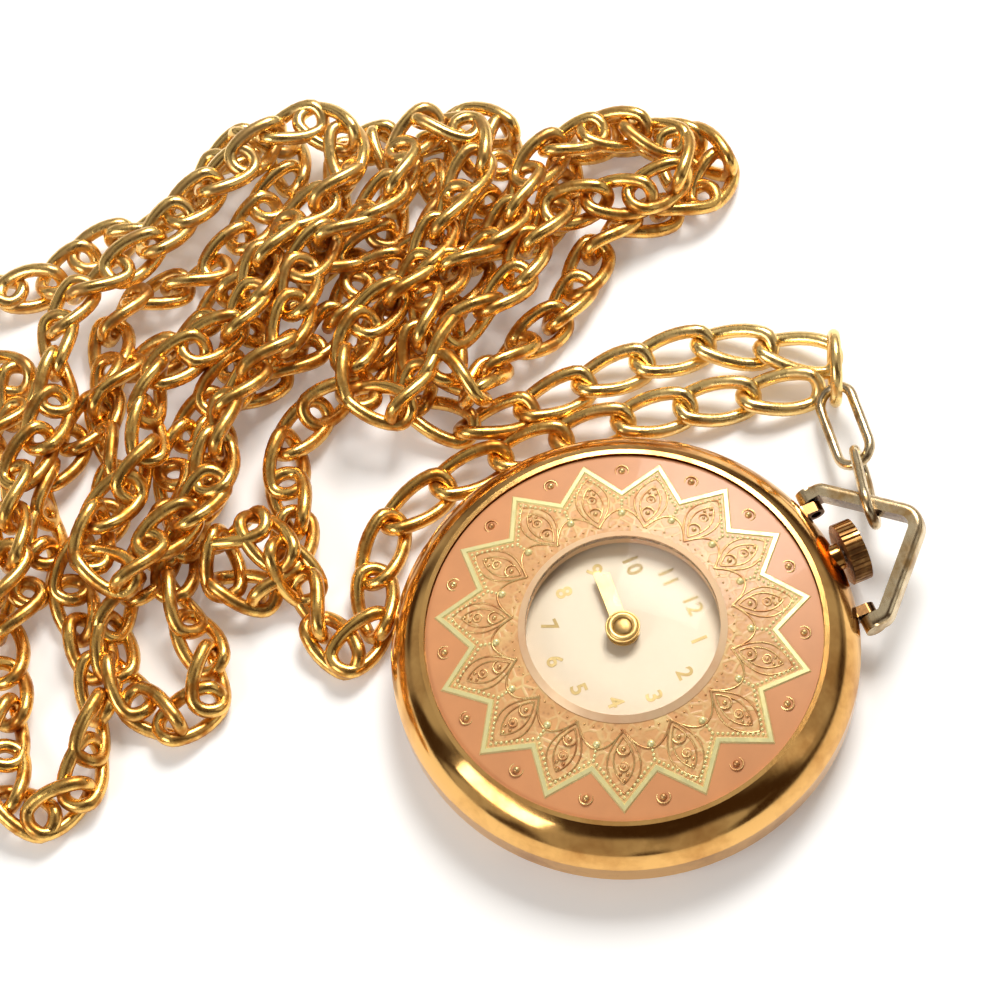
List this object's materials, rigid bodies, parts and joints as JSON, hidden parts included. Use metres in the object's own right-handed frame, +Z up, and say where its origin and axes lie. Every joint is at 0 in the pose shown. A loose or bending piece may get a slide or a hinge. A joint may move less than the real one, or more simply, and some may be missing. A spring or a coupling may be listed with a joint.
{
  "type": "pendant watch",
  "caption": "Round hand-wound pendant watch with enamelled plate, small dial, crown and triangular bow, on a long curb-link chain in a heap.",
  "frame": {"origin": "middle of the flat face that the watch rests on, on the hands' axis", "axes": "+Z up through the dial, +Y along the winding stem towards the crown and 12 o'clock, +X towards 3 o'clock"},
  "size_m": [0.0633, 0.0679, 0.0075],
  "materials": {
    "gilt": "polished gilt",
    "enamel": "glossy salmon enamel with gilt relief",
    "crystal": "clear",
    "dial": "satin cream",
    "hands": "polished",
    "worn_gilt": "worn, satin",
    "chain_gilt": "polished gilt",
    "plate_brass": "frosted",
    "wheel_brass": "fine-grained",
    "steel": "polished edges",
    "spring_steel": "blued",
    "ruby": "polished"
  },
  "bodies": {
    "watch": {"case_body": "gilt", "case_back": "gilt", "enamel_plate": "enamel", "crystal_rim": "gilt", "crystal": "crystal", "dial": "dial", "crown_tube": "gilt", "movement_ring": "plate_brass", "mainplate": "plate_brass", "barrel_bridge": "plate_brass", "train_bridge": "plate_brass", "balance_cock": "plate_brass", "pallet_bridge": "plate_brass", "jewels": "ruby", "bridge_screws": "steel", "crown_wheel_screw": "steel", "click_spring": "steel", "end_link": "worn_gilt", "jump_ring": "chain_gilt", "chain": "chain_gilt"},
    "minute": {"centre_wheel": "wheel_brass", "cannon_pinion": "steel", "minute_hand": "hands"},
    "hour": {"hour_wheel": "wheel_brass", "hour_hand": "hands"},
    "minute_wheel": {"minute_wheel": "wheel_brass"},
    "setting_wheel": {"setting_wheel": "steel"},
    "third_wheel": {"third_wheel": "wheel_brass"},
    "fourth_wheel": {"fourth_wheel": "wheel_brass"},
    "escape_wheel": {"escape_wheel": "steel"},
    "barrel": {"barrel": "wheel_brass", "barrel_cover": "wheel_brass", "mainspring": "spring_steel"},
    "barrel_arbor": {"barrel_arbor": "steel", "ratchet_wheel": "steel", "ratchet_screw": "steel"},
    "crown_wheel": {"crown_wheel": "steel"},
    "winding_pinion": {"winding_pinion": "steel"},
    "crown": {"crown": "gilt", "winding_stem": "steel"},
    "clutch": {"clutch_wheel": "steel"},
    "setting_lever": {"setting_lever": "steel"},
    "yoke": {"yoke": "steel"},
    "click": {"click": "steel"},
    "balance": {"balance_wheel": "wheel_brass", "balance_staff": "steel", "hairspring": "spring_steel"},
    "pallet": {"pallet_fork": "steel"},
    "bow": {"bow": "worn_gilt"},
    "bow_link": {"bow_link": "worn_gilt"}
  },
  "joints": [
    {"name": "minute_turn", "type": "hinge", "parent": "watch", "child": "minute", "pos_m": [0, 0, 0.0036], "axis": [0, 0, 1], "continuous": true},
    {"name": "hour_turn", "type": "hinge", "parent": "watch", "child": "hour", "pos_m": [0, 0, 0.005], "axis": [0, 0, 1], "continuous": true},
    {"name": "minute_wheel_turn", "type": "hinge", "parent": "watch", "child": "minute_wheel", "pos_m": [0.0016, 0.0012, 0.0048], "axis": [0, 0, 1], "continuous": true},
    {"name": "setting_wheel_turn", "type": "hinge", "parent": "watch", "child": "setting_wheel", "pos_m": [-0.00016, 0.00268, 0.0046], "axis": [0, 0, 1], "continuous": true},
    {"name": "third_wheel_turn", "type": "hinge", "parent": "watch", "child": "third_wheel", "pos_m": [0.00304, -0.00111, 0.0034], "axis": [0, 0, 1], "continuous": true},
    {"name": "fourth_wheel_turn", "type": "hinge", "parent": "watch", "child": "fourth_wheel", "pos_m": [0.00198, -0.00361, 0.0034], "axis": [0, 0, 1], "continuous": true},
    {"name": "escape_wheel_turn", "type": "hinge", "parent": "watch", "child": "escape_wheel", "pos_m": [-0.00057, -0.00429, 0.0034], "axis": [0, 0, 1], "continuous": true},
    {"name": "barrel_turn", "type": "hinge", "parent": "watch", "child": "barrel", "pos_m": [-0.00329, 0.0012, 0.0038], "axis": [0, 0, 1], "continuous": true},
    {"name": "crown_turn", "type": "hinge", "parent": "watch", "child": "winding_pinion", "pos_m": [0, 0.00602, 0.0036], "axis": [0, 1, 0], "continuous": true},
    {"name": "crown_wheel_turn", "type": "hinge", "parent": "watch", "child": "crown_wheel", "pos_m": [0, 0.004, 0.002], "axis": [0, 0, 1], "continuous": true},
    {"name": "ratchet_turn", "type": "hinge", "parent": "watch", "child": "barrel_arbor", "pos_m": [-0.00329, 0.0012, 0.002], "axis": [0, 0, 1], "continuous": true},
    {"name": "crown_pull", "type": "slide", "parent": "winding_pinion", "child": "crown", "axis": [0, 1, 0], "range_m": [0, 0.0006]},
    {"name": "clutch_slide", "type": "slide", "parent": "winding_pinion", "child": "clutch", "axis": [0, 1, 0], "range_m": [-0.00036, 0]},
    {"name": "setting_lever_swing", "type": "hinge", "parent": "watch", "child": "setting_lever", "pos_m": [0.0022, 0.0075, 0.0048], "axis": [0, 0, 1], "range_deg": [-17, 0]},
    {"name": "yoke_swing", "type": "hinge", "parent": "watch", "child": "yoke", "pos_m": [-0.0023, 0.0069, 0.0041], "axis": [0, 0, 1], "range_deg": [-10, 0]},
    {"name": "balance_swing", "type": "hinge", "parent": "watch", "child": "balance", "pos_m": [-0.00462, -0.00358, 0.0032], "axis": [0, 0, 1], "range_deg": [-135, 135], "stiffness_Nm_per_rad": 0.000000013},
    {"name": "pallet_swing", "type": "hinge", "parent": "watch", "child": "pallet", "pos_m": [-0.00227, -0.00399, 0.0035], "axis": [0, 0, 1], "range_deg": [-5, 5]},
    {"name": "click_lift", "type": "hinge", "parent": "watch", "child": "click", "pos_m": [-0.0039, 0.00464, 0.002], "axis": [0, 0, 1], "range_deg": [-6, 6], "stiffness_Nm_per_rad": 0.0000001},
    {"name": "bow_swing", "type": "hinge", "parent": "watch", "child": "bow", "pos_m": [0, 0.01515, 0.0029], "axis": [1, 0, 0], "range_deg": [-10, 8]},
    {"name": "bow_link_swing", "type": "hinge", "parent": "bow", "child": "bow_link", "pos_m": [-0.00257, 0.01839, 0.00377], "axis": [0.6964, 0.6932, 0.1858], "range_deg": [-12, 12]}
  ],
  "couplings": [
    {"joint": "hour_turn", "follows": "minute_turn", "ratio": 0.083333},
    {"joint": "minute_wheel_turn", "follows": "minute_turn", "ratio": -0.33333},
    {"joint": "setting_wheel_turn", "follows": "minute_turn", "ratio": 0.625},
    {"joint": "third_wheel_turn", "follows": "minute_turn", "ratio": -8},
    {"joint": "fourth_wheel_turn", "follows": "minute_turn", "ratio": 60},
    {"joint": "escape_wheel_turn", "follows": "minute_turn", "ratio": -600},
    {"joint": "barrel_turn", "follows": "minute_turn", "ratio": -0.16667},
    {"joint": "crown_wheel_turn", "follows": "crown_turn", "ratio": 0.64286},
    {"joint": "ratchet_turn", "follows": "crown_turn", "ratio": -0.5625},
    {"joint": "clutch_slide", "follows": "crown_pull", "ratio": -0.6},
    {"joint": "setting_lever_swing", "follows": "crown_pull", "rad_per_m": -454.5},
    {"joint": "yoke_swing", "follows": "crown_pull", "rad_per_m": -260.9},
    {"joint": "bow_link_swing", "follows": "bow_swing", "ratio": -0.96}
  ]
}
